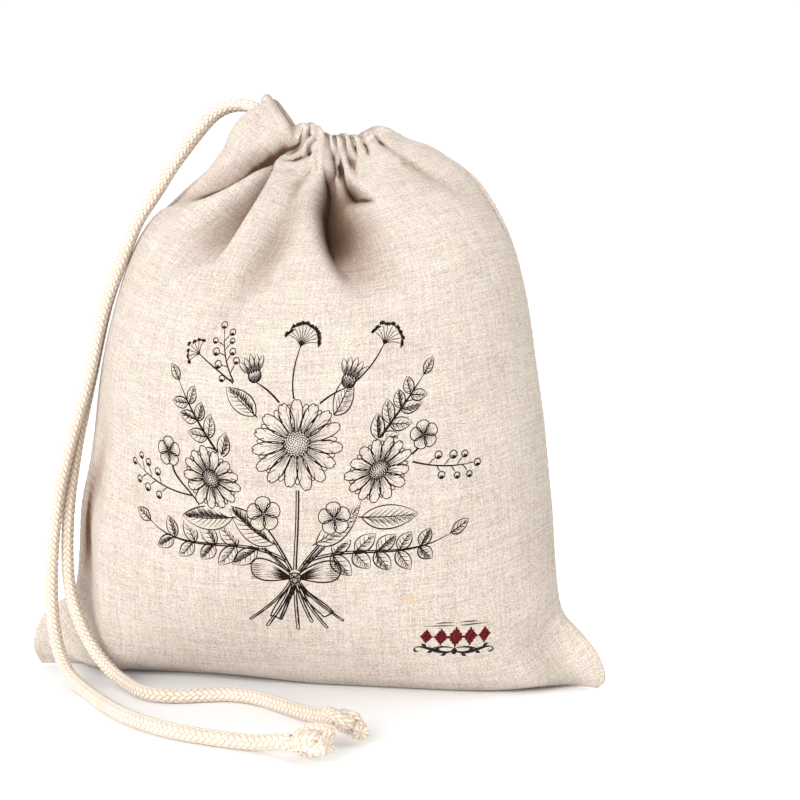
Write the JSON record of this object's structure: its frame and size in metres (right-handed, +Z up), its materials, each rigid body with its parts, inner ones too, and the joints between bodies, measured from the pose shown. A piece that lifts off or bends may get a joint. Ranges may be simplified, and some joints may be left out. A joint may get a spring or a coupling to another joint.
{
  "type": "drawstring bread bag",
  "caption": "Filled linen drawstring bag standing upright, gathered at the neck, with a cotton cord looped through its top casing and hanging down to the ground.",
  "frame": {"origin": "centre of the bag's footprint box on the ground, measured without the free cord ends and their knots", "axes": "+X to the right across the bag's width, +Y from its front towards its back, +Z up"},
  "size_m": [0.298, 0.2354, 0.2983],
  "materials": {
    "linen": "matt undyed linen, plain weave with slubs",
    "cotton_cord": "matt cream braided cotton"
  },
  "bodies": {
    "root": {"front_panel": "linen", "back_panel": "linen", "cord_in_casing": "cotton_cord", "cord_end_front": "cotton_cord", "cord_end_back": "cotton_cord", "knot_front": "cotton_cord", "knot_back": "cotton_cord"}
  },
  "joints": []
}
